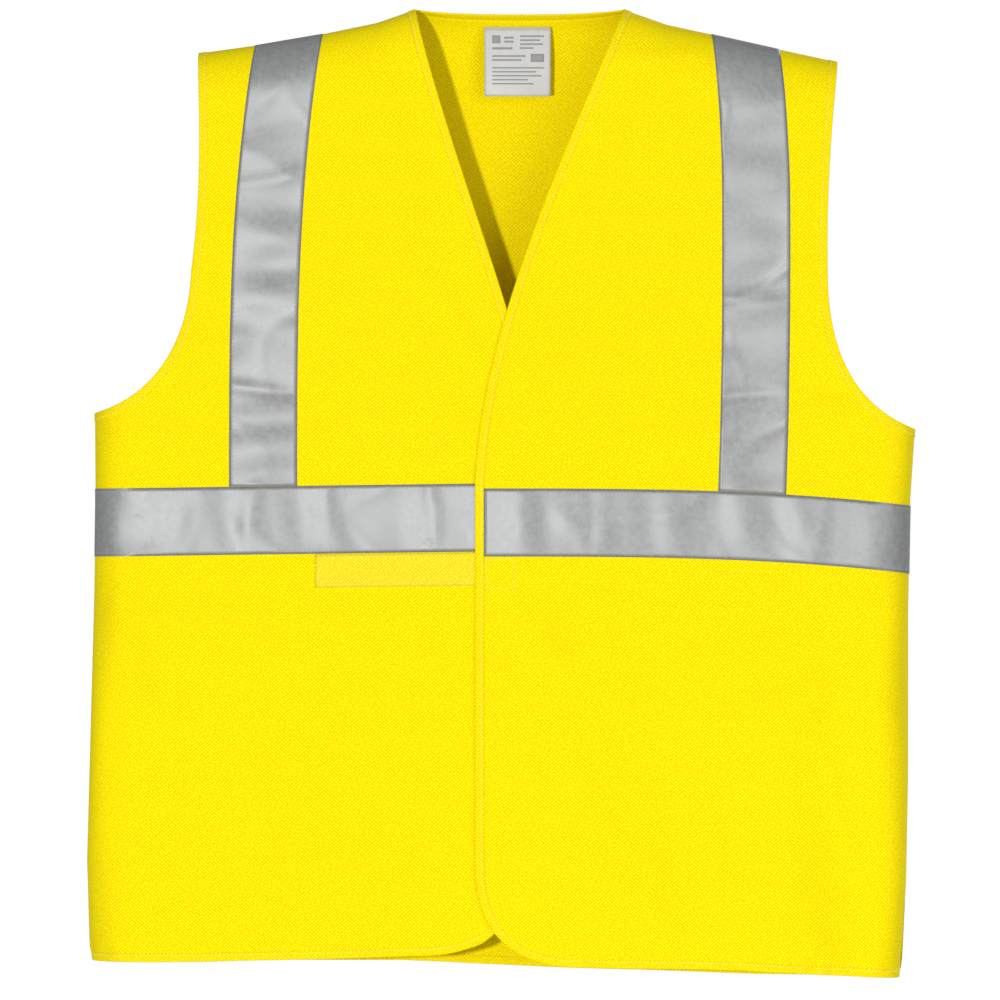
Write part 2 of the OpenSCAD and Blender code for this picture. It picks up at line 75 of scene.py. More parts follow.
NECK = {RIGHT: (-69.0, 1.5), LEFT: (88.0, 1.5)}
TIP = {RIGHT: (-232.5, -31.5), LEFT: (249.0, -38.0)}
PIT = {RIGHT: (-310.0, -302.0), LEFT: (307.0, -314.0)}
ARMHOLE = {
    RIGHT: (TIP[RIGHT], (-230, -90), (-230, -145), (-237, -196), (-239, -248), (-264, -290), PIT[RIGHT]),
    LEFT: (TIP[LEFT], (243, -85), (239, -150), (241, -208), (243, -262), (266, -300), PIT[LEFT]),
}
NECKLINE = {
    RIGHT: (NECK[RIGHT], (-52, -75), (-12, -180), (6, -245)),
    LEFT: (NECK[LEFT], (44, -105), (-18, -235), (-24, -352)),
}
CORNER = {
    RIGHT: ((6, -660), (6, -690), (-20, -708), (-60, -710)),
    LEFT: ((-24, -640), (-24, -690), (0, -714), (45, -718)),
}
# Side seams as (z, x), going up; the shoulders and hems as (x, z)
SIDE = {
    RIGHT: (
        (-714, -312), (-690, -314), (-640, -316), (-583, -314.5), (-437, -310.5), (-370, -309.5),
        (-302, -310),
    ),
    LEFT: (
        (-727, 295), (-690, 298), (-653, 300.5), (-575, 302), (-450, 302), (-368, 303.5), (-314, 307),
    ),
}
SHOULDER = (
    TIP[RIGHT], (-189, -25.5), (-139, -17), (-98, -8.5), NECK[RIGHT], NECK[LEFT], (121, -10), (158, -18),
    (203, -28), TIP[LEFT],
)
FRONT_HEM = ((-312, -714), (-230, -714), (-60, -710), (45, -718), (172, -720), (295, -727))
BACK_HEM = ((-312, -714), (-80, -716), (46, -721), (190, -726), (295, -727))
NECK_MID = (NECK[RIGHT][0] + NECK[LEFT][0]) / 2
NECK_HALF = (NECK[LEFT][0] - NECK[RIGHT][0]) / 2
NECK_DROP = 13.4  # of the back neckline, along the fabric
WAIST_Z = -354.9
FOLD = {RIGHT: (-60.8, 0.2167), LEFT: (79.9, -0.1623)}  # folding axis: x at z = 0, x per mm of z
FOLD_OUTER, FOLD_INNER = 8.0, 20.0  # the cloth that turns with a fold, on either side of its axis
SIDE_BEND_X = 278.0  # where the sides start to bend away, at the waist
FOLD_ROOM = 0.5  # how much further a tape stands off the cloth where that folds
LAP_X = {RIGHT: 6.0, LEFT: -24.0}  # the free edges at the waist
SIDE_END = {RIGHT: -310.0, LEFT: 303.5}  # the waist tape's other ends, at the side seams
WAIST_W = {RIGHT: 310.0, LEFT: 322.0}  # a front's width that sets the columns of its cloth and tape
STRIP_H = 25.0
STRIP_BELOW = 51.5  # from the waist tape's top to the strip's top
LOOP_L, HOOK_L = 144.0, 24.0
PILE_T = 1.1
SEAM_W, SEAM_T = 7.0, 1.2
LABEL_X, LABEL_Y, LABEL_TOP = 8.0, 14.95, -11.4
LABEL_W, LABEL_DROP, LABEL_T, PRINT_T = 50.0, 51.0, 0.25, 0.04

PITCH = 3.4  # of the cloth's mesh
TAPE_PITCH = 2.8  # of a tape's mesh, across it
BEND_N = 12  # mesh rows in the bend at a side or a shoulder
ARM_N, FALL_N = int(250 / PITCH), int(410 / PITCH)  # mesh rows beside the armhole and below it
FINE = np.linspace(0, 1, 400)  # places along an outline's curves


def places(*parts):
    """Coordinates, or arrays of them, put together as places or points."""
    return np.stack(np.broadcast_arrays(*parts), -1)


def smooth(t):
    t = np.clip(t, 0, 1)
    return t * t * (3 - 2 * t)


def rise(u):
    return np.sqrt(1 - (1 - np.clip(u, 0, 1)) ** 2)


def bezier(p, t):
    p = np.asarray(p, float)
    t = np.asarray(t, float)[..., None]
    return p[0] * (1 - t) ** 3 + 3 * p[1] * t * (1 - t) ** 2 + 3 * p[2] * t**2 * (1 - t) + p[3] * t**3


def table(points):
    a = np.asarray(points, float)
    return a[:, 0], a[:, 1]


def side_x(hand, z):
    return np.interp(z, *table(SIDE[hand]))


def seam_x(x, z):
    return np.where(x > NECK_MID, side_x(LEFT, z), side_x(RIGHT, z))


def hand_of(x):
    return np.where(x > NECK_MID, LEFT, RIGHT)


def shoulder_z(x):
    return np.interp(x, *table(SHOULDER))


def hem_z(face, x):
    return np.interp(x, *table(FRONT_HEM if face == FRONT else BACK_HEM))


def waist_top(part, x):
    """The waist tape's upper edge, on either front or the whole back."""
    x = np.asarray(x, float)
    if part == RIGHT:
        return WAIST_Z + 4.1 * x / 310
    if part == LEFT:
        return WAIST_Z - 4 - 13 * (np.maximum(x + 17, 0) / 321) ** 3
    return WAIST_Z - 4.1 - 12.9 * (x + 310) / 614


def brace_x(hand, z):
    """A brace's middle line."""
    z = np.asarray(z, float)
    if hand == LEFT:
        upper, lower = np.maximum(z + 150, 0) / 124, np.maximum(-200 - z, 0) / 162
        return 187 - 7 * upper**2 - 3 * lower**2
    return -183 + 19 * ((np.minimum(z, 0) + 355) / 334) ** 3


def lift(x):
    """The upper front's stand-off over the lower one, gone where it leaves the lap."""
    return LAP_LIFT * (1 - smooth((np.asarray(x, float) - 8) / 46))


# ---- flat places


def rolled_out(d, radius, arc):
    """The length along the fabric to depth d, where the bend of this radius is arc long."""
    turn = np.arccos(1 - np.minimum(d / radius, 1)) * 2 / math.pi
    return np.where(d < radius, arc * turn, arc - radius + d)


def rolled_in(a, radius, arc):
    """The depth at length a along the fabric."""
    turn = np.minimum(a / arc, 1) * math.pi / 2
    return np.where(a < arc, radius * (1 - np.cos(turn)), a - arc + radius)


def flat(p):
    """(u, v) of places (x, z): distances along the fabric instead of across the view."""
    x, z = p[..., 0], p[..., 1]
    hand, seam, top = hand_of(x), seam_x(x, z), shoulder_z(x)
    along = rolled_out(np.maximum(hand * (seam - x), 0), SIDE_R, SIDE_ARC)
    down = rolled_out(np.maximum(top - z, 0), SHOULDER_R, SHOULDER_ARC)
    return places(hand * (np.abs(seam) + SIDE_ARC - SIDE_R - along), top + SHOULDER_ARC - SHOULDER_R - down)


def unflat(q):
    """(x, z) of flat places (u, v)."""
    u, v = q[..., 0], q[..., 1]
    hand, edge = hand_of(u), np.abs(seam_x(u, v))
    along = np.maximum(edge + SIDE_ARC - SIDE_R - hand * u, 0)
    x = hand * (edge - rolled_in(along, SIDE_R, SIDE_ARC))
    top = shoulder_z(x)
    down = np.maximum(top + SHOULDER_ARC - SHOULDER_R - v, 0)
    return places(x, top - rolled_in(down, SHOULDER_R, SHOULDER_ARC))


def run(p):
    """The distance of each point from the first, along the line."""
    return np.concatenate([[0], np.cumsum(np.linalg.norm(np.diff(p, axis=0), axis=1))])


def resample(p, n):
    """n + 1 places evenly along a line, measured on the flat fabric."""
    q = flat(np.asarray(p, float))
    d = run(q)
    at = np.linspace(0, d[-1], n + 1)
    return unflat(places(*(np.interp(at, d, q[:, k]) for k in (0, 1))))


def beside(p, w):
    """The line moved w to the left of its run, on the flat fabric."""
    q = flat(np.asarray(p, float))
    d = np.gradient(q, axis=0)
    d /= np.maximum(np.hypot(d[:, 0], d[:, 1]), 1e-9)[:, None]
    return unflat(q + w * places(-d[:, 1], d[:, 0]))


# ---- how the cloth lies


def waves(seed, count, shortest, longest, turn=(0, math.pi)):
    """Wave vectors, phases and weights of a smooth random field."""
    rng = np.random.default_rng(seed)
    length = np.exp(rng.uniform(math.log(shortest), math.log(longest), count))
    angle = rng.uniform(turn[0], turn[1], count)
    k = 2 * math.pi / length
    return k * np.cos(angle), k * np.sin(angle), rng.uniform(0, 2 * math.pi, count), length / length.max()


def field(spec, x, z):
    out = np.zeros(np.shape(x))
    for a, b, p, w in zip(*spec):
        out += w * np.sin(a * x + b * z + p)
    return out / math.sqrt(len(spec[0]) / 2)


def both_faces(seed, count, shortest, longest, turn=(0, math.pi)):
    return {face: waves(seed + face, count, shortest, longest, turn) for face in (FRONT, BACK)}


BROAD = both_faces(8, 9, 110, 300)
CREASE = both_faces(21, 16, 26, 80)
WARP_X, WARP_Z = both_faces(41, 7, 90, 220), both_faces(51, 7, 90, 220)
CRUMPLE, SMALL_CRUMPLE = both_faces(61, 9, 120, 260), both_faces(71, 9, 60, 130)
PATCHES = both_faces(81, 7, 120, 300)
PUCKER = both_faces(5, 9, 24, 64, (0, 0.2))
BRACE_PUCKER = both_faces(15, 9, 26, 64, (1.25, 1.9))
EDGE_PUCKER = both_faces(91, 7, 9, 20)

# Long soft folds: x at the foot, x and z at the top, half width, height
FOLDS = {
    FRONT: (
        (-272, -238, -320, 24, 5.2), (-205, -190, -420, 18, -3.6), (-136, -122, -430, 22, 4.4),
        (-62, -44, -455, 18, -3.2), (74, 50, -440, 22, 3.8), (136, 116, -410, 18, -3.8),
        (204, 194, -400, 24, 4.8), (262, 246, -330, 20, -4.0),
    ),
    BACK: (
        (-262, -218, -300, 26, 5.4), (-168, -132, -380, 22, -4.6), (-72, -54, -360, 26, 5.0),
        (34, 26, -400, 22, -4.4), (126, 108, -370, 26, 5.2), (244, 208, -310, 24, -4.6),
    ),
}
# Short creases and long drag lines: x and z at the start and the end, half width, height
CREASES = {
    FRONT: (
        (-222, -283, -140, -287, 4.5, 1.5), (140, -291, 222, -289, 4.0, -1.0),
        (-214, -132, -128, -118, 6, 1.0), (150, -214, 226, -222, 7, 0.9),
        (-60, -350, -52, -420, 5, 0.9), (60, -352, 66, -424, 6, -0.9), (-190, -352, -196, -420, 6, 0.8),
        (236, -362, 232, -430, 6, 0.9),
    ),
    BACK: (
        (-222, -240, -140, -246, 5, 1.3), (140, -180, 222, -186, 5, 1.1), (-40, -350, -32, -430, 6, 0.9),
        (110, -352, 118, -440, 6, 0.9),
    ),
}
DRAGS = {
    FRONT: (
        (-272, -286, -120, -190, 11, 2.6), (-264, -300, -60, -300, 12, -2.2),
        (-244, -250, -205, -120, 9, 1.8), (-104, -40, -56, -230, 12, 2.2),
        (266, -300, 120, -215, 11, -2.4), (270, -312, 70, -330, 12, 2.4),
        (247, -262, 215, -120, 9, 2.0), (118, -44, 40, -250, 12, 2.2),
        (-300, -440, -120, -520, 14, 2.4), (292, -450, 110, -545, 15, -2.4),
        (-20, -430, 90, -520, 12, 2.0), (-290, -400, -190, -640, 12, 1.8),
        (286, -410, 190, -650, 12, -1.8),
    ),
    BACK: (
        (-272, -285, -70, -210, 13, 2.8), (266, -300, 60, -225, 13, -2.6),
        (-240, -230, -120, -120, 12, 2.0), (244, -240, 130, -120, 12, 2.2),
        (-120, -50, -30, -190, 14, 2.2), (128, -52, 40, -190, 14, -2.2),
        (-296, -440, -60, -560, 14, 2.4), (288, -450, 60, -570, 14, 2.4),
        (-290, -330, -110, -330, 12, -2.0), (290, -345, 120, -330, 12, 2.0),
    ),
}


def ridge(u, w):
    """1 at u = 0, dying away over w to both sides."""
    return np.exp(-((u / w) ** 2))


def crumple(x, z, face):
    """Creases that come and go, as narrow ridges along winding lines."""
    wx = x + 20 * field(WARP_X[face], x, z)
    wz = z + 20 * field(WARP_Z[face], x, z)
    patch = smooth(0.45 + 0.55 * field(PATCHES[face], x, z))
    large = ridge(field(CRUMPLE[face], wx, wz), 0.2) - 0.15
    small = ridge(field(SMALL_CRUMPLE[face], wx, wz), 0.28) - 0.2
    return 1.7 * patch * large + 0.75 * (1 - 0.6 * patch) * small


def relief(x, z, face):
    """How far the cloth stands off its plain shape."""
    low = smooth((-z - 120) / 420)
    waist = 0.5 * (waist_top(RIGHT, x) + waist_top(LEFT, x)) - TAPE_W / 2
    on_band = ridge(z - waist, TAPE_W * 0.5)
    above_band = smooth((z + 372) / 30)
    calm = 1 - 0.6 * on_band
    for hand in (RIGHT, LEFT):
        on_brace = ridge(x - brace_x(hand, z), TAPE_W * 0.5) * above_band
        calm = calm * (1 - 0.55 * on_brace)
    out = field(BROAD[face], x, z) * (0.8 + 1.5 * low)
    out += calm * (0.3 * field(CREASE[face], x, z) + crumple(x, z, face))
    for foot, top, top_z, width, height in FOLDS[face]:
        t = np.clip((top_z - z) / (top_z + 720), 0, 1)
        centre = top + (foot - top) * t + 7 * np.sin(z / 90 + foot)
        out += height * smooth(t * 1.35) * ridge(x - centre, width * (0.7 + 0.5 * t))
    for lines, weight, bow in ((DRAGS[face], calm, 9), (CREASES[face], 1, 2)):
        for x0, z0, x1, z1, width, height in lines:
            d = math.hypot(x1 - x0, z1 - z0)
            ux, uz = (x1 - x0) / d, (z1 - z0) / d
            along = ((x - x0) * ux + (z - z0) * uz) / d
            across = (z - z0) * ux - (x - x0) * uz + bow * np.sin(along * 5 + x0)
            reach = smooth(along * 5 + 0.4) * smooth((1 - along) * 2.2)
            out += weight * height * reach * ridge(across, width)
    out += 0.85 * on_band * field(PUCKER[face], x, z)
    for hand in (RIGHT, LEFT):
        near = ridge(x - brace_x(hand, z), TAPE_W * 0.62) * above_band
        out += 0.8 * near * field(BRACE_PUCKER[face], x, z)
    out += 0.4 * smooth(1 - (z - hem_z(face, x)) / 26) * field(EDGE_PUCKER[face], x, z)
    return out


def sway(x, z):
    """The whole garment's slow wandering to front and back, the same on both faces."""
    reach = smooth((-np.asarray(z, float) - 100) / 260)
    return reach * (2.6 * np.sin(x / 95 + z / 210 + 0.6) + 1.7 * np.sin(x / 47 - z / 130 + 2.1))


def fold_room(x, z):
    """How much further a tape stands off the cloth: FOLD_ROOM at a folding axis, and none away from it."""
    near = 0
    for hand, (x0, slope) in FOLD.items():
        near = near + ridge(x - x0 - slope * z + hand * (FOLD_INNER - FOLD_OUTER) / 2, 15)
    return FOLD_ROOM * near


def on_cloth(x, z, h, face):
    """A point h outside the fabric's inner face, in metres."""
    x, z, h = np.broadcast_arrays(np.asarray(x, float), np.asarray(z, float), np.asarray(h, float))
    if face == FRONT:
        h = h + fold_room(x, z) * smooth((h - CLOTH_T) / 0.3)
    hand, seam = hand_of(x), seam_x(x, z)
    s = np.maximum(hand * (seam - x), 0) / SIDE_R
    t = np.maximum(shoulder_z(x) - z, 0) / SHOULDER_R
    out = h + relief(x, z, face) * smooth(np.minimum(s * 1.1, t * 0.9))
    return MM * places(
        x + hand * out * (1 - np.minimum(s, 1)),
        face * (SIDE_R + out) * rise(s) * rise(t) + sway(x, z),
        z + out * (1 - np.minimum(t, 1)),
    )


# ---- materials


class Graph:
    """A node material, written with as few words as it takes."""

    def __init__(self, name, rough, metal=0.0, sheen=0.0, gloss=0.5, tint=(1, 1, 1)):
        self.material = bpy.data.materials.new(name)
        self.material.use_nodes = True
        self.nodes, self.links = self.material.node_tree.nodes, self.material.node_tree.links
        self.shader = self.nodes["Principled BSDF"]
        self.out(
            Roughness=rough, Metallic=metal, Sheen_Weight=sheen, Sheen_Roughness=0.4,
            Specular_IOR_Level=gloss, Sheen_Tint=(*tint, 1),
        )
        uv, scale = self.add("ShaderNodeUVMap"), self.add("ShaderNodeVectorMath")
        uv.uv_map = "UVMap"
        scale.operation = "MULTIPLY"
        self.put(scale.inputs[0], uv.outputs[0])
        self.put(scale.inputs[1], (1000, 1000, 0))
        self.uv = scale.outputs[0]  # millimetres
        parts = self.add("ShaderNodeSeparateXYZ")
        self.links.new(self.uv, parts.inputs[0])
        self.u, self.v = parts.outputs[0], parts.outputs[1]

    def add(self, kind):
        return self.nodes.new(kind)

    def put(self, socket, value):
        if isinstance(value, bpy.types.NodeSocket):
            self.links.new(value, socket)
        else:
            socket.default_value = value

    def math(self, operation, a, b=0.0, c=0.0, clamp=False):
        node = self.add("ShaderNodeMath")
        node.operation = operation
        node.use_clamp = clamp
        for socket, value in zip(node.inputs, (a, b, c)):
            self.put(socket, value)
        return node.outputs[0]

    def times(self, a, b):
        return self.math("MULTIPLY", a, b)

    def plus(self, a, b, clamp=False):
        return self.math("ADD", a, b, clamp=clamp)

    def fit(self, value, scale, shift):
        return self.math("MULTIPLY_ADD", value, scale, shift)

    def wave(self, value, period):
        """A sine wave from -1 to 1."""
        return self.math("SINE", self.times(value, 2 * math.pi / period))

    def ripple(self, value, period):
        """A sine wave from 0 to 1."""
        return self.fit(self.wave(value, period), 0.5, 0.5)

    def noise(self, size, detail=2.0, rough=0.5):
        node = self.add("ShaderNodeTexNoise")
        node.inputs["Scale"].default_value = 1 / size
        node.inputs["Detail"].default_value = detail
        node.inputs["Roughness"].default_value = rough
        self.links.new(self.uv, node.inputs["Vector"])
        return node.outputs["Fac"]

    def remap(self, value, a, b, c=0.0, d=1.0):
        """The range from a to b, stretched to run from c to d and cut off there."""
        node = self.add("ShaderNodeMapRange")
        for socket, v in zip(node.inputs, (value, a, b, c, d)):
            self.put(socket, v)
        return node.outputs[0]

    def mix(self, amount, a, b):
        """Colour a where amount is 0, and b where it is 1."""
        node = self.add("ShaderNodeMix")
        node.data_type = "RGBA"
        self.put(node.inputs[0], amount)
        for socket, v in ((node.inputs[6], a), (node.inputs[7], b)):
            self.put(socket, v if isinstance(v, bpy.types.NodeSocket) else (*v, 1))
        return node.outputs[2]

    def bump(self, height, distance, strength):
        """Relief of the given depth in mm."""
        node = self.add("ShaderNodeBump")
        node.inputs["Strength"].default_value = strength
        node.inputs["Distance"].default_value = distance * MM
        self.links.new(height, node.inputs["Height"])
        self.links.new(node.outputs[0], self.shader.inputs["Normal"])

    def out(self, **inputs):
        """The finished material, with these inputs of its shader set."""
        for name, value in inputs.items():
            self.put(self.shader.inputs[name.replace("_", " ")], value)
        return self.material


def maze(g, size, pick):
    """Short slanting ribs that change direction, from 0 to 1."""
    u = g.plus(g.u, g.fit(g.noise(7, 2), 2.4, -1.2))
    v = g.times(g.v, 1.15)
    one = g.wave(g.plus(u, v), size)
    other = g.wave(g.math("SUBTRACT", u, v), size)
    choice = g.remap(g.noise(pick, 1), 0.44, 0.56)
    lines = g.plus(one, g.times(choice, g.math("SUBTRACT", other, one)))
    return g.remap(lines, -0.6, 0.6)


def knit_look(g):
    """Colour and relief of the warp knit."""
    ribs = maze(g, 3.0, 2.2)
    wale = g.ripple(g.u, 0.95)
    course = g.ripple(g.plus(g.v, g.times(wale, 0.35)), 0.72)
    loops = g.times(wale, course)
    grain = g.fit(g.noise(0.6, 3), 0.5, -0.25)
    broad = g.remap(g.noise(60, 4), 0.35, 0.65)
    tone = g.plus(g.fit(ribs, 0.85, 0.08), grain, clamp=True)
    colour = g.mix(tone, (0.955, 0.615, 0.0), (0.975, 0.955, 0.0))
    colour = g.mix(g.times(broad, 0.06), colour, (0.84, 0.70, 0.0))
    height = g.plus(g.times(ribs, 0.5), g.times(loops, 0.5))
    return colour, height, loops


def knit_material():
    g = Graph("yellow_knit", 0.82, sheen=0.2, gloss=0.1, tint=(1, 0.9, 0.05))
    colour, height, loops = knit_look(g)
    g.bump(height, 0.22, 0.5)
    return g.out(Base_Color=colour, Roughness=g.remap(loops, 0, 1, 0.9, 0.72))


def tape_material():
    g = Graph("reflective_tape", 0.5, metal=0.4, gloss=0.35)
    edge = g.math("MINIMUM", g.v, g.math("SUBTRACT", TAPE_W, g.v))
    border = g.remap(edge, 1.5, 2.3, 1.0, 0.0)
    line = g.times(g.remap(edge, 2.2, 2.5, 0.0, 1.0), g.remap(edge, 2.7, 3.0, 1.0, 0.0))
    beads = g.noise(0.28, 2, rough=0.7)
    cloth = g.fit(g.plus(g.wave(g.u, 0.8), g.wave(g.v, 0.7)), 0.25, 0.5)
    blotch = g.noise(5, 4, rough=0.65)
    tone = g.plus(g.times(beads, 0.5), g.times(blotch, 0.55))
    colour = g.mix(g.remap(tone, 0.36, 0.68), (0.27, 0.278, 0.285), (0.395, 0.40, 0.398))
    colour = g.mix(g.times(border, 0.34), colour, (0.165, 0.18, 0.205))
    colour = g.mix(g.times(line, 0.12), colour, (0.19, 0.20, 0.22))
    wear = g.remap(g.noise(26, 6, rough=0.7), 0.6, 0.78, 0.0, 0.35)
    colour = g.mix(wear, colour, (0.26, 0.265, 0.26))
    g.bump(g.plus(g.times(cloth, 0.6), g.times(beads, 0.5)), 0.1, 0.5)
    rough = g.plus(g.remap(blotch, 0.3, 0.7, 0.44, 0.54), g.times(wear, 0.3))
    return g.out(Base_Color=colour, Roughness=rough)


def binding_material():
    g = Graph("binding", 0.8, sheen=0.2, gloss=0.1, tint=(1, 0.9, 0.05))
    colour, height, _ = knit_look(g)
    rib = g.ripple(g.u, 1.1)
    colour = g.mix(g.times(rib, 0.18), colour, (0.90, 0.62, 0.0))
    g.bump(g.plus(g.times(rib, 0.5), g.times(height, 0.5)), 0.2, 0.6)
    return g.out(Base_Color=colour)


def fastener_material(name, pile, pale):
    g = Graph(name, 0.85, sheen=0.3, gloss=0.15, tint=(1, 0.95, 0.2))
    colour, height, _ = knit_look(g)
    nap = g.noise(pile, 4, rough=0.75)
    colour = g.mix(g.times(nap, pale), colour, (1.0, 0.95, 0.16))
    g.bump(g.plus(nap, g.times(height, 0.4)), 0.5, 0.8)
    return g.out(Base_Color=colour)


def label_material():
    g = Graph("label_fabric", 0.42, sheen=0.1)
    satin = g.ripple(g.plus(g.u, g.times(g.v, 0.4)), 0.5)
    tone = g.plus(g.times(satin, 0.25), g.noise(7, 3), clamp=True)
    g.bump(satin, 0.05, 0.4)
    return g.out(Base_Color=g.mix(tone, (0.51, 0.52, 0.525), (0.62, 0.62, 0.61)))


def thread_material(name, a, b):
    g = Graph(name, 0.55, sheen=0.3)
    twist = g.ripple(g.plus(g.u, g.times(g.v, 1.2)), 0.55)
    g.bump(twist, 0.08, 0.8)
    return g.out(Base_Color=g.mix(twist, a, b))


def mottled_material(name, rough, size, a, b):
    g = Graph(name, rough)
    return g.out(Base_Color=g.mix(g.noise(size, 2), a, b))


KNIT, TAPE, BINDING, LABEL = knit_material(), tape_material(), binding_material(), label_material()
PRINT = mottled_material("label_print", 0.6, 0.4, (0.25, 0.25, 0.26), (0.36, 0.36, 0.37))
LOOP_PILE = fastener_material("loop_pile", 0.7, 0.28)
HOOK_PILE = fastener_material("hook_pile", 0.35, 0.4)
YELLOW_THREAD = thread_material("yellow_thread", (0.97, 0.88, 0.06), (1.0, 0.97, 0.34))
GREY_THREAD = thread_material("grey_thread", (0.30, 0.31, 0.33), (0.62, 0.63, 0.64))

# ---- meshes


def new_object(name, points, faces, uvs, material):
    mesh = bpy.data.meshes.new(name)
    points, faces = np.asarray(points, float), np.asarray(faces, np.int32)
    mesh.from_pydata(points.tolist(), [], faces.tolist())
    mesh.polygons.foreach_set("use_smooth", np.ones(len(mesh.polygons), bool))
    uv_layer = mesh.uv_layers.new(name="UVMap")
    index = np.zeros(len(mesh.loops), np.int32)
    mesh.loops.foreach_get("vertex_index", index)
    uv_layer.data.foreach_set("uv", np.asarray(uvs, np.float32)[index].ravel())
    mesh.materials.append(material)
    obj = bpy.data.objects.new(name, mesh)
    bpy.context.scene.collection.objects.link(obj)
    return obj


def facing(faces, corners, outward):
    """The faces, all wound the other way if the one with these corners faces inward."""
    a, b, c = corners
    return faces[:, ::-1] if np.dot(np.cross(b - a, c - a), outward) < 0 else faces


def shell(name, inner, outer, uv, material):
    """A closed sheet between two grids of points."""
    rows, cols = inner.shape[:2]
    points = np.concatenate([inner.reshape(-1, 3), outer.reshape(-1, 3)])
    i, j = np.meshgrid(np.arange(rows - 1), np.arange(cols - 1), indexing="ij")
    a = (i * cols + j).ravel()
    low = np.stack([a, a + 1, a + cols + 1, a + cols], -1)
    n = rows * cols
    top, left = np.arange(cols - 1), np.arange(rows - 1) * cols
    foot, right = (rows - 1) * cols + top, left + cols - 1
    sides = ((top + 1, top), (foot, foot + 1), (left, left + cols), (right + cols, right))
    rim = [np.stack([p, q, q + n, p + n], -1) for p, q in sides]
    faces = np.concatenate([low, low[:, ::-1] + n, *rim])
    row, column = (rows - 1) // 2, (cols - 1) // 2
    middle = points[low[row * (cols - 1) + column, :3]]
    faces = facing(faces, middle, (inner - outer)[row, column])
    uv = uv.reshape(-1, 2) * MM
    return new_object(name, points, faces, np.concatenate([uv, uv]), material)


def cloth(name, x, z, h0, h1, face, material, uv=None):
    """A sheet on one face of the garment, between heights h0 and h1."""
    if uv is None:
        uv = flat(places(x, z))
    return shell(name, on_cloth(x, z, h0, face), on_cloth(x, z, h1, face), uv, material)


def crisp_ends(obj, x):
    """Marks a strip's border sharp at the side seams, where its thin rim would shade its face."""
    mesh, (rows, cols) = obj.data, x.shape
    pairs = np.zeros(2 * len(mesh.edges), np.int32)
    mesh.edges.foreach_get("vertices", pairs)
    pairs = pairs.reshape(-1, 2) % (rows * cols)
    border = np.zeros(len(pairs), bool)
    for place, last in zip(np.divmod(pairs, cols), (rows - 1, cols - 1)):
        border |= (place[:, 0] == place[:, 1]) & np.isin(place[:, 0], (0, last))
    sharp = border & (np.abs(x.ravel()[pairs]) > SIDE_BEND_X).all(1)
    mesh.attributes.new("sharp_edge", "BOOLEAN", "EDGE").data.foreach_set("value", sharp)
    return obj


def tube(name, rings, uv, material):
    """A closed skin through rings of points; the ends are capped with a fan of quads."""
    n, k = rings.shape[:2]
    i, j = np.meshgrid(np.arange(n - 1), np.arange(k), indexing="ij")
    a, b = (i * k + j).ravel(), (i * k + (j + 1) % k).ravel()
    sides = np.stack([a, b, b + k, a + k], -1)
    half = np.arange(k // 2 - 1)
    cap = np.stack([half, half + 1, (k - 2 - half) % k, k - 1 - half], -1)
    faces = np.concatenate([sides, cap[:, ::-1], cap + (n - 1) * k])
    points = rings.reshape(-1, 3)
    corners = points[sides[n // 2 * k, [0, 1, 3]]]
    faces = facing(faces, corners, corners[0] - rings[n // 2].mean(0))
    return new_object(name, points, faces, uv.reshape(-1, 2) * MM, material)


# ---- outlines


def armhole(hand):
    return np.concatenate([bezier(ARMHOLE[hand][:4], FINE), bezier(ARMHOLE[hand][3:], FINE)[1:]])


def free_edge(hand):
    """Neckline, front edge and lower corner of one front, from the neck down to the hem."""
    neck, corner = bezier(NECKLINE[hand], FINE), bezier(CORNER[hand], FINE)
    return np.concatenate([neck, np.linspace(neck[-1], corner[0], 60)[1:-1], corner])


def hem_line(face, x0, x1):
    x = np.linspace(x0, x1, 200)
    return places(x, hem_z(face, x))


def front_rim(hand):
    """One front's free edge and then its hem, as far as the side seam."""
    free = free_edge(hand)
    return np.concatenate([free, hem_line(FRONT, free[-1, 0], SIDE[hand][0][1])[1:]])


def back_hem():
    return hem_line(BACK, SIDE[RIGHT][0][1], SIDE[LEFT][0][1])


def to_seam(line, hand):
    """The line with its last place moved on to the side seam."""
    line[-1, 0] = side_x(hand, line[-1, 1])
    return line


def neck_arc(x, inset=0.0):
    """The back neckline's depth below the shoulder line along the fabric."""
    u = np.clip(np.abs((x - NECK_MID) / (NECK_HALF + inset)), 0, 1)
    return (NECK_DROP + inset) * (1 - u**2.6) ** (1 / 2.2)


def back_neck():
    """The back neckline, from the right neck point to the left one."""
    x = NECK_MID + NECK_HALF * np.sin(np.linspace(-math.pi / 2, math.pi / 2, 161))
    turn = neck_arc(x) / SHOULDER_ARC * math.pi / 2
    return places(x, shoulder_z(x) - SHOULDER_R * (1 - np.cos(turn)))


# How far in from a seam the mesh's rows lie, as shares of the bend's radius
BEND_STEPS = 1 - np.cos(np.linspace(0, math.pi / 2, BEND_N + 1))


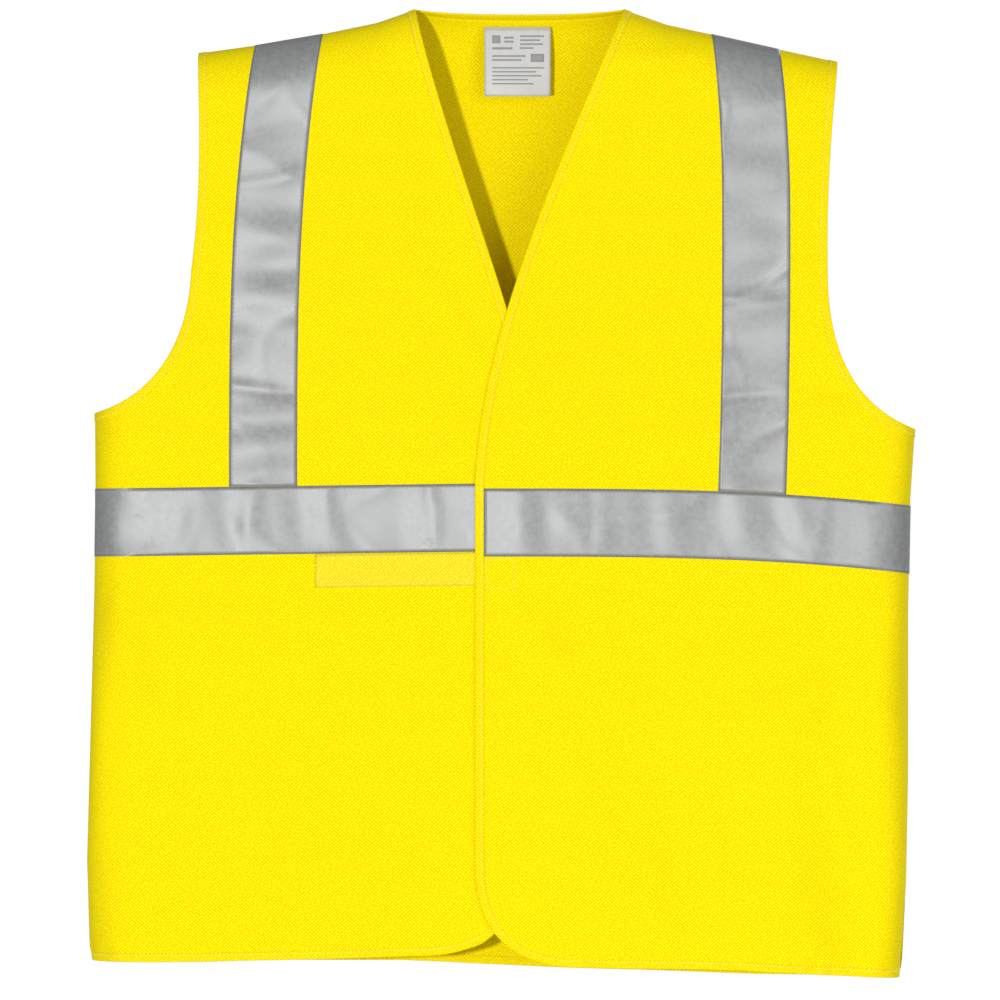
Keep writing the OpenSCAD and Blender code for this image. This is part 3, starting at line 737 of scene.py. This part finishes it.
def outer_edge(hand):
    """The cloth's edge inside the armhole's binding, then the side seam down to the hem's binding.
    Gives the places, how much of the shoulder's slope each row keeps, and the row at the pit."""
    rim = beside(armhole(hand), -hand * BIND_W)
    pit = np.array([0.0, PIT[hand][1] - BIND_W])
    pit[0] = side_x(hand, pit[1])
    rim[-1] = pit
    tip_z = shoulder_z(rim[0, 0])
    top_z = tip_z - BEND_STEPS[:-1] * SHOULDER_R
    top = places(np.interp(-top_z, -rim[:, 1], rim[:, 0]), top_z)
    start = int(np.argmax(rim[:, 1] < tip_z - SHOULDER_R))
    gap = hand * (pit[0] - rim[:, 0])
    near = int(np.argmax((gap < SIDE_R) & (np.arange(len(rim)) > start)))
    arm = resample(rim[start:near], ARM_N)
    s = SIDE_R * BEND_STEPS[::-1]
    tail = places(*(np.interp(-s, -gap[near - 1 :], rim[near - 1 :, k]) for k in (0, 1)))
    tail[-1] = pit
    down = np.linspace(pit[1], SIDE[hand][0][0] + BIND_W, FALL_N + 1)[1:]
    edge = np.concatenate([top, arm, tail[1:], places(side_x(hand, down), down)])
    row = len(top) + len(arm) + len(tail) - 1
    bent_z = tip_z - SHOULDER_R
    fade = 1 - smooth((bent_z - edge[:, 1]) / (bent_z - pit[1]))
    return edge, fade[:, None], row


def spread(width, both=False):
    """Fractions along a row, close together where its first end, or both ends, bend to the side."""
    first = BEND_STEPS * SIDE_R * 1.15
    end = width - first[-1] if both else width
    mid = np.linspace(first[-1], end, int((end - first[-1]) / PITCH) + 1)
    last = width - first[::-1] if both else mid[-1:]
    return np.concatenate([first, mid[1:-1], last]) / width


NECK_FADE = 220  # depth over which the rows lose the back neckline's hollow
FOOT_Z = -600  # below this, the rows turn to follow the hem


def bent_rows(a, b, fade, across, face, hollow=None):
    """Rows of places from edge a to edge b: along the shoulder at the top, along the hem at the foot."""
    x = a[:, :1] + (b[:, :1] - a[:, :1]) * across
    z = a[:, 1:] + (b[:, 1:] - a[:, 1:]) * across
    chord = shoulder_z(a[:, :1]) + (shoulder_z(b[:, :1]) - shoulder_z(a[:, :1])) * across
    z = z + fade * (shoulder_z(x) - chord)
    if hollow is not None:
        deep = flat(places(x, z))
        below = shoulder_z(x) + SHOULDER_ARC - SHOULDER_R - deep[..., 1]
        deep[..., 1] -= hollow * (1 - np.clip(below / NECK_FADE, 0, 1))
        z = np.where(below < 2 * NECK_FADE, unflat(deep)[..., 1], z)
    to_hem = hem_z(face, x) + BIND_W - z
    low = smooth((FOOT_Z - z) / (FOOT_Z - z[-1:]))
    last_eighth = smooth((np.arange(len(z)) / (len(z) - 1))[:, None] * 8 - 7)
    return x, z + low**3 * to_hem * last_eighth


def front_grid(hand):
    edge, fade, pit = outer_edge(hand)
    free = beside(free_edge(hand), hand * BIND_W)
    drop = shoulder_z(free[0, 0]) - edge[0, 1]
    neck_z = np.minimum(edge[:pit, 1] + fade[:pit, 0] * drop, shoulder_z(free[0, 0]))
    keep = np.concatenate([[True], np.diff(np.minimum.accumulate(free[:, 1])) < 0])
    upper = places(np.interp(-neck_z, -free[keep, 1], free[keep, 0]), neck_z)
    start = int(np.argmax(free[:, 1] <= neck_z[-1]))
    lower = resample(np.concatenate([upper[-1:], free[start + 1 :]]), len(edge) - pit)
    inner = np.concatenate([upper, lower[1:]])
    return bent_rows(edge, inner, fade, spread(WAIST_W[hand]), FRONT)


def back_grid():
    right, fade, _ = outer_edge(RIGHT)
    left, _, _ = outer_edge(LEFT)
    across = spread(left[-1, 0] - right[-1, 0], both=True)
    x = right[:, :1] + (left[:, :1] - right[:, :1]) * across
    return bent_rows(right, left, fade, across, BACK, neck_arc(x, BIND_W))


# ---- pieces on the cloth


def folding(obj):
    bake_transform(obj)
    return obj


def layer(part, x, face=FRONT):
    """Height of the cloth's inner face: the upper front is lifted where it laps over."""
    return lift(x) if part == LEFT and face == FRONT else np.zeros(np.shape(x))


def band(name, part, x0, x1, d0, d1, h0, h1, face, material):
    """A strip across the cloth, from d0 to d1 below the waist tape's top."""
    if part == WHOLE:
        f = spread(x1 - x0, both=True)
    elif SIDE_END[part] in (x0, x1):
        one = spread(WAIST_W[part])
        f = one if part == RIGHT else 1 - one[::-1]
    else:
        f = np.linspace(0, 1, max(int((x1 - x0) / PITCH), 3) + 1)
    rows = np.linspace(d0, d1, max(int((d1 - d0) / TAPE_PITCH), 3) + 1)[:, None]
    x = np.broadcast_to(x0 + (x1 - x0) * f, (len(rows), len(f)))
    z = waist_top(part, x) - rows
    if x0 == SIDE_END[RIGHT]:
        x = np.where(f < 0.5, x + (side_x(RIGHT, z) - x[:, :1]) * (1 - f) ** 8, x)
    if x1 == SIDE_END[LEFT]:
        x = np.where(f > 0.5, x + (side_x(LEFT, z) - x[:, -1:]) * f**8, x)
    uv = places(flat(places(x, z))[..., 0], rows - d0)
    base = layer(part, x, face)
    return crisp_ends(cloth(name, x, z, base + h0, base + h1, face, material, uv), x)


def part_under(hand, face):
    """What a brace lies on: the front on its own side, or the whole back."""
    return hand if face == FRONT else WHOLE


def brace_foot(hand, face):
    """Where a brace meets the waist tape's upper edge."""
    return float(waist_top(part_under(hand, face), brace_x(hand, WAIST_Z)))


def brace(name, hand):
    """One shoulder tape, over the shoulder from the front of the waist tape to the back of it."""
    cols = np.linspace(-TAPE_W / 2, TAPE_W / 2, int(TAPE_W / TAPE_PITCH) + 1)
    top = shoulder_z(float(brace_x(hand, -20)))
    skins = []
    for face in (FRONT, BACK):
        foot = brace_foot(hand, face) + BRACE_GAP
        n = int((-foot - SHOULDER_R - 20) / 2.6)
        bend = top - BEND_STEPS * SHOULDER_R
        middle = np.concatenate([bend, np.linspace(top - SHOULDER_R, foot, n)[1:]])[:, None]
        if face == BACK:
            middle = middle[1:]
        x = brace_x(hand, middle) + cols
        depth = top - middle
        straight = smooth((depth - 60) / 120)
        z = (shoulder_z(x) - depth) * (1 - straight) + middle * straight
        part = part_under(hand, face)
        level = waist_top(part, x) - waist_top(part, brace_x(hand, WAIST_Z))
        z = z + level * smooth((depth - 180) / 120)
        base = layer(hand, x, face)
        skin = [on_cloth(x, z, base + h, face) for h in (TAPE_IN, TAPE_OUT)]
        skins.append([s[::-1] if face == FRONT else s for s in skin])
    inner, outer = (np.concatenate(s) for s in zip(*skins))
    along = run(inner[:, len(cols) // 2]) / MM
    return shell(name, inner, outer, places(along[:, None], cols + TAPE_W / 2), TAPE)


# A binding's section: distance in from the edge, and height over the fabric's middle
SECTION = (
    (6.5, -0.35), (5.9, -0.62), (3.4, -0.58), (1.2, -0.66), (0.3, -0.52), (0.0, 0.0),
    (0.3, 0.52), (1.2, 0.66), (3.4, 0.58), (5.9, 0.62), (6.5, 0.35), (6.6, 0.0),
)
SECTION_RUN = np.cumsum([0, 0.7, 2.5, 2.2, 0.9, 0.6, 0.6, 0.9, 2.2, 2.5, 0.7, 0.4])  # round the section


def binding_rings(line, face, side, hand):
    """Rings of points round an edge: line runs along it, and side says which way the cloth is."""
    rings = []
    along = run(flat(line))
    ripple = 0.06 * np.sin(along / 3.1) + 0.05 * np.sin(along / 1.9 + 1)
    for inset, h in SECTION:
        p = beside(line, side * inset)
        puff = 1 + ripple * (abs(h) > 0.3)
        rings.append(on_cloth(*p.T, layer(hand, p[:, 0], face) + CLOTH_T / 2 + h * puff, face))
    return np.stack(rings, 1)


def binding(name, parts):
    """parts are (line, face, side, hand), each going on from the one before."""
    rings = np.concatenate([binding_rings(*part)[min(i, 1) :] for i, part in enumerate(parts)])
    along = run(rings.mean(1)) / MM
    return tube(name, rings, places(along[:, None], SECTION_RUN), BINDING)


STITCH_SIDES = 6
STITCH_BOW = np.array([-0.75, 0.55, 0.85, 0.55, -0.75]) * THREAD_R  # how high each ring lies
STITCH_R = THREAD_R * MM * np.array([0.45, 0.95, 1.0, 0.95, 0.45])  # of each ring
STITCH_CAPS = ((0, 3, 2, 1), (0, 5, 4, 3), (24, 25, 26, 27), (24, 27, 28, 29))  # two quads over each end


def unit(v):
    return v / np.linalg.norm(v, axis=-1)[..., None]


def stitch_rings(line, h, face):
    """The rings of points and the middles of each stitch in a row, and their places along the row."""
    d = run(on_cloth(*line.T, h, face) / MM)
    n = max(int(d[-1] / STITCH_PITCH), 1)
    at = (np.arange(n)[:, None] + 0.5) * d[-1] / n + np.linspace(-0.5, 0.5, 5) * STITCH
    x, z, h = (np.interp(at, d, v) for v in (*line.T, h))
    middle = on_cloth(x, z, h + STITCH_BOW, face)
    up = unit(on_cloth(x, z, h + STITCH_BOW + 1, face) - middle)
    side = unit(np.cross(unit(np.gradient(middle, axis=1)), up))
    angle = (np.arange(STITCH_SIDES) * 2 * math.pi / STITCH_SIDES)[:, None]
    around = np.cos(angle) * side[:, :, None] + np.sin(angle) * up[:, :, None]
    return middle[:, :, None] + STITCH_R[:, None, None] * around, middle, at


def stitches(name, rows, material):
    """Short stitches along rows of (place line, height line or number, face)."""
    all_points, all_faces, all_uv, count = [], [], [], 0
    k = STITCH_SIDES
    for line, h, face in rows:
        rings, middle, at = stitch_rings(line, np.broadcast_to(h, len(line)), face)
        first = np.arange(len(rings))[:, None, None] * 5 * k + np.arange(4)[:, None] * k
        a, b = first + np.arange(k), first + (np.arange(k) + 1) % k
        sides = np.stack([a, b, b + k, a + k], -1).reshape(-1, 4)
        faces = np.concatenate([sides, *(first[:, 0] + np.array(cap) for cap in STITCH_CAPS)])
        corners = rings[0, (1, 1, 2), (0, 1, 0)]
        all_faces.append(facing(faces, corners, corners[0] - middle[0, 1]) + count)
        all_points.append(rings.reshape(-1, 3))
        all_uv.append(places(at[..., None], np.arange(k) * THREAD_R).reshape(-1, 2) * MM)
        count += len(all_points[-1])
    return new_object(name, *(np.concatenate(part) for part in (all_points, all_faces, all_uv)), material)


# ---- the cloth

for hand, side in NAME.items():
    x, z = front_grid(hand)
    if hand == LEFT:
        x, z = x[:, ::-1], z[:, ::-1]
    base = layer(hand, x)
    obj = folding(cloth(f"{side}_front_cloth", x, z, base, base + CLOTH_T, FRONT, KNIT))
    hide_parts(f"{side}_front_panel", f"{side}_front_flap")

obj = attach(cloth("back_cloth", *back_grid(), 0, CLOTH_T, BACK, KNIT), "vest_body")
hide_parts("back_panel")

# ---- tapes

TAPE_STRIP = (0, TAPE_W, TAPE_IN, TAPE_OUT)
for hand, side in NAME.items():
    ends = sorted((SIDE_END[hand], LAP_X[hand] + hand * (BIND_W + 0.6)))
    obj = folding(band(f"{side}_waist_band", hand, *ends, *TAPE_STRIP, FRONT, TAPE))
    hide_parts(f"{side}_waist_tape", f"{side}_flap_waist_tape")
    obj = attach(brace(f"{side}_brace", hand), "vest_body")
    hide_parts(f"{side}_brace_tape")
ends = SIDE_END[RIGHT], SIDE_END[LEFT]
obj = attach(band("back_waist_band", WHOLE, *ends, *TAPE_STRIP, BACK, TAPE), "vest_body")
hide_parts("back_waist_tape")

# ---- bindings

BOUND_PITCH = PITCH * 0.8
for hand, side in NAME.items():
    line = to_seam(resample(armhole(hand), int(290 / BOUND_PITCH)), hand)
    obj = binding(f"{side}_armhole_edge", [(line, FRONT, -hand, hand), (line[::-1], BACK, hand, hand)])
    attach(obj, "vest_body")
    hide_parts(f"{side}_armhole_binding")
    line = resample(front_rim(hand), int(1010 / BOUND_PITCH))
    obj = folding(binding(f"{side}_front_edge", [(line, FRONT, hand, hand)]))
    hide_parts(f"{side}_flap_binding", f"{side}_hem_binding")
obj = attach(binding("neck_edge", [(back_neck(), BACK, -1, RIGHT)]), "vest_body")
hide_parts("neck_binding")
line = resample(back_hem(), int(640 / PITCH))
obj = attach(binding("back_hem_edge", [(line, BACK, 1, RIGHT)]), "vest_body")
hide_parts("back_hem_binding")

# ---- touch fastener

strip = (STRIP_BELOW, STRIP_BELOW + STRIP_H)
loop_x = LAP_X[RIGHT] - BIND_W - LOOP_L
loop_place = (RIGHT, loop_x, loop_x + LOOP_L, *strip)
obj = folding(band("loop_pad", *loop_place, TAPE_IN, TAPE_IN + PILE_T, FRONT, LOOP_PILE))
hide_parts("loop_strip")
hook_x = LAP_X[LEFT] + BIND_W + 1
hook_place = (LEFT, hook_x, hook_x + HOOK_L, *strip)
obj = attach(band("hook_pad", *hook_place, -1.0, -LAYER, FRONT, HOOK_PILE), "over_flap")
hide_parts("hook_strip")

# ---- seams

DEEP = np.linspace(1.2, SEAM_W, 5)[:, None]  # from the seam into its allowance


def frill(n, a, b):
    """Where an allowance's n columns stand, its free edge in small waves."""
    wave = 0.35 * np.sin(np.arange(n) * a) + 0.25 * np.sin(np.arange(n) * b)
    return 1.5 + wave * DEEP / SEAM_W


def allowance(name, x, y, z, along):
    """The cloth's edges inside a seam, sewn together."""
    lie = places(x, y, z) * MM
    thick = np.array([0, SEAM_T, 0]) * MM
    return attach(shell(name, lie, lie + thick, places(along, DEEP), KNIT), "vest_body")


for hand, side in NAME.items():
    x = np.linspace(NECK[hand][0] + hand * 7, TIP[hand][0] - hand * 7, 60)
    stand = frill(60, 1.3, 0.47)
    obj = allowance(f"{side}_shoulder_allowance", x, stand, shoulder_z(x) - DEEP, x)
    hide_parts(f"{side}_shoulder_seam")
    z = np.linspace(PIT[hand][1] - 8, SIDE[hand][0][0] + 7, 150)
    seam = side_x(hand, z)
    stand = frill(150, 1.1, 0.41) + sway(seam, z)
    obj = allowance(f"{side}_side_allowance", seam - hand * DEEP, stand, z, z)
    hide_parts(f"{side}_side_seam")

# ---- care label


def on_label(px, pz, off):
    """A point on the label's front: px from its middle, pz below its top."""
    f = pz / LABEL_DROP
    curl = 0.9 * np.sin(f * 3.1) + 0.8 * f**3 * np.cos(px / 9) - 0.4 * f * np.sin(px / 13)
    return places(LABEL_X + px, LABEL_Y - curl - off, LABEL_TOP - 0.2 - pz) * MM


def label_piece(name, px, pz, low, high, material):
    pz = pz[:, None]
    obj = shell(name, on_label(px, pz, low), on_label(px, pz, high), places(px, pz), material)
    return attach(obj, "label")


px = np.linspace(-LABEL_W / 2, LABEL_W / 2, 24)
obj = label_piece("label_cloth", px, np.linspace(0, 1, 24) * LABEL_DROP, 0, LABEL_T, LABEL)
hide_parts("care_label")

# Plain bars and shapes, in place of print: left, right, top, foot
MARKS = (
    (-19, -13, 5, 11), (-19, -4, 14, 15.6), (-10, -3, 6, 7.4), (-10, -3, 9, 10.4),
    (2, 20, 5, 6.2), (2, 17, 8, 9.2), (2, 19, 11, 12.2), (2, 12, 14, 15.2),
    (-19, 6, 20, 21.2), (-19, 3, 23, 24.2), (10, 20, 19, 25),
    (-19, 20, 29, 30), (-19, 14, 32, 33), (-19, 18, 35, 36), (-19, 8, 38, 39), (-19, 12, 41, 42),
)
for number, (x0, x1, z0, z1) in enumerate(MARKS):
    mx = np.linspace(x0, x1, max(int((x1 - x0) / 1.5), 2) + 1)
    mz = np.linspace(z0, z1, max(int((z1 - z0) / 1.5), 1) + 1)
    label_piece(f"label_mark_{number + 1:02d}", mx, mz, LABEL_T, LABEL_T + PRINT_T, PRINT)

# ---- stitches

ON_TAPE = TAPE_OUT + THREAD_GAP
ON_BINDING = CLOTH_T / 2 + 0.64
TAPE_ROWS = (STITCH_IN, TAPE_W - STITCH_IN)


def across_line(part, x0, x1, below):
    x = np.linspace(x0, x1, 400)
    return places(x, waist_top(part, x) - below)


def on_front(hand, line, h):
    """A row of stitches on one front, h over the cloth's inner face."""
    return line, layer(hand, line[:, 0]) + h, FRONT


def strip_rows(part, x0, x1, d0, d1, h):
    """Rows of stitches round a touch fastener."""
    x0, x1, d0, d1 = x0 + STRIP_IN, x1 - STRIP_IN, d0 + STRIP_IN, d1 - STRIP_IN
    lines = [across_line(part, x0, x1, below) for below in (d0, d1)]
    lines += [places(px, waist_top(part, px) - np.linspace(d0, d1, 60)) for px in (x0, x1)]
    return [on_front(part, line, h) for line in lines]


for hand, side in NAME.items():
    ends = (SIDE_END[hand] - hand * 0.5, LAP_X[hand] + hand * (BIND_W + 1))
    rows = [on_front(hand, across_line(hand, *ends, below), ON_TAPE) for below in TAPE_ROWS]
    obj = folding(stitches(f"{side}_waist_stitches", rows, GREY_THREAD))
    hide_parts(f"{side}_waist_thread", f"{side}_flap_waist_thread")
    rows = []
    for face in (FRONT, BACK):
        z = np.linspace(-24, brace_foot(hand, face) + 1, 300)
        for off in (-TAPE_W / 2 + STITCH_IN, TAPE_W / 2 - STITCH_IN):
            x = brace_x(hand, z) + off
            line = places(x, np.minimum(z, shoulder_z(x) - 1.5))
            rows.append((line, layer(hand, x, face) + ON_TAPE, face))
    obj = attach(stitches(f"{side}_brace_stitches", rows, GREY_THREAD), "vest_body")
    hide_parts(f"{side}_brace_thread")
    line = to_seam(beside(armhole(hand), -hand * BOUND_IN), hand)
    rows = [on_front(hand, line, ON_BINDING), (line, ON_BINDING, BACK)]
    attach(stitches(f"{side}_armhole_stitches", rows, YELLOW_THREAD), "vest_body")
    line = beside(resample(front_rim(hand), 700), hand * BOUND_IN)
    folding(stitches(f"{side}_edge_stitches", [on_front(hand, line, ON_BINDING)], YELLOW_THREAD))

ends = (SIDE_END[RIGHT] + 0.5, SIDE_END[LEFT] - 0.5)
rows = [(across_line(WHOLE, *ends, below), ON_TAPE, BACK) for below in TAPE_ROWS]
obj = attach(stitches("back_waist_stitches", rows, GREY_THREAD), "vest_body")
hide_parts("back_waist_thread")
lines = (beside(resample(back_hem(), 400), BOUND_IN), beside(back_neck(), -BOUND_IN))
rows = [(line, ON_BINDING, BACK) for line in lines]
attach(stitches("back_edge_stitches", rows, YELLOW_THREAD), "vest_body")

rows = strip_rows(*loop_place, TAPE_IN + PILE_T + THREAD_GAP)
obj = folding(stitches("loop_stitches", rows, YELLOW_THREAD))
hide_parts("loop_thread")
rows = strip_rows(*hook_place, CLOTH_T + THREAD_GAP)
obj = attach(stitches("hook_stitches", rows, YELLOW_THREAD), "over_flap")
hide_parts("hook_thread")

# The label's turned-in end, rolled over from its top to the back cloth
px = np.linspace(-LABEL_W / 2, LABEL_W / 2, 30)
turn = np.linspace(0, math.pi * 1.15, 9)[:, None]
inner, outer = (
    places(LABEL_X + px, LABEL_Y + 2.7 - (r + 1) * np.cos(turn), LABEL_TOP - 0.1 + r * np.sin(turn)) * MM
    for r in (1.15, 1.5)
)
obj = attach(shell("label_fold", inner, outer, places(px, turn * 1.3), LABEL), "vest_body")
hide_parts("label_thread")

# ---- each front's name, beside an area that nothing reads


for hand, area in ((RIGHT, 0.195), (LEFT, 0.205)):
    side = NAME[hand]

# ---- stage, light and camera

scene = bpy.context.scene
MIDDLE = (0, 0, -0.36)  # of the vest, in metres as is all that follows
FLOOR_Z, FLOOR_R = -0.83, 1.2

mesh = bpy.data.meshes.new("floor")
angle = np.linspace(0, 2 * math.pi, 64, endpoint=False)
rim = places(FLOOR_R * np.cos(angle), FLOOR_R * np.sin(angle), FLOOR_Z)
mesh.from_pydata(rim.tolist(), [], [list(range(64))])
mesh.materials.append(mottled_material("floor_white", 0.9, 300, (0.92,) * 3, (0.92 * 0.99,) * 3))
floor = bpy.data.objects.new("floor", mesh)
scene.collection.objects.link(floor)

bpy.ops.mesh.primitive_uv_sphere_add(segments=32, ring_count=16, radius=20.0)
dome = bpy.context.object
dome.name = "backdrop"
white = bpy.data.materials.new("backdrop_white")
white.use_nodes = True
nodes = white.node_tree.nodes
nodes.clear()
emission, output = nodes.new("ShaderNodeEmission"), nodes.new("ShaderNodeOutputMaterial")
emission.inputs["Strength"].default_value = 1.0
white.node_tree.links.new(emission.outputs[0], output.inputs["Surface"])
dome.data.materials.append(white)
for ray in ("diffuse", "glossy", "transmission", "volume_scatter", "shadow"):
    setattr(dome, f"visible_{ray}", False)

world = bpy.data.worlds.new("studio")
scene.world = world
world.use_nodes = True
sky = world.node_tree.nodes["Background"].inputs
sky["Color"].default_value = (1.0, 1.0, 1.0, 1.0)
sky["Strength"].default_value = 0.345


def area_light(name, where, size, power):
    """A round lamp that shines at the vest's middle."""
    light = bpy.data.lights.new(name, "AREA")
    light.shape, light.size, light.energy = "DISK", size, power
    obj = bpy.data.objects.new(name, light)
    scene.collection.objects.link(obj)
    obj.location = where
    obj.rotation_euler = (Vector(MIDDLE) - Vector(where)).to_track_quat("-Z", "Y").to_euler()


area_light("key", (-0.98, -4.1, -0.48), 0.24, 98)
area_light("fill", (1.6, -2.6, 0.2), 2.0, 19)
area_light("back_light", (1.9, 2.7, 0.9), 0.8, 60)

camera = bpy.data.cameras.new("camera")
camera.lens, camera.sensor_width = 300, 36
camera.clip_end = 100
eye = bpy.data.objects.new("camera", camera)
eye.location = (-0.00525, -0.03 - 6.25, -0.3675)
eye.rotation_euler = (math.pi / 2, 0, 0)
scene.collection.objects.link(eye)
scene.camera = eye
scene.view_settings.view_transform = "Standard"
scene.view_settings.look = "None"
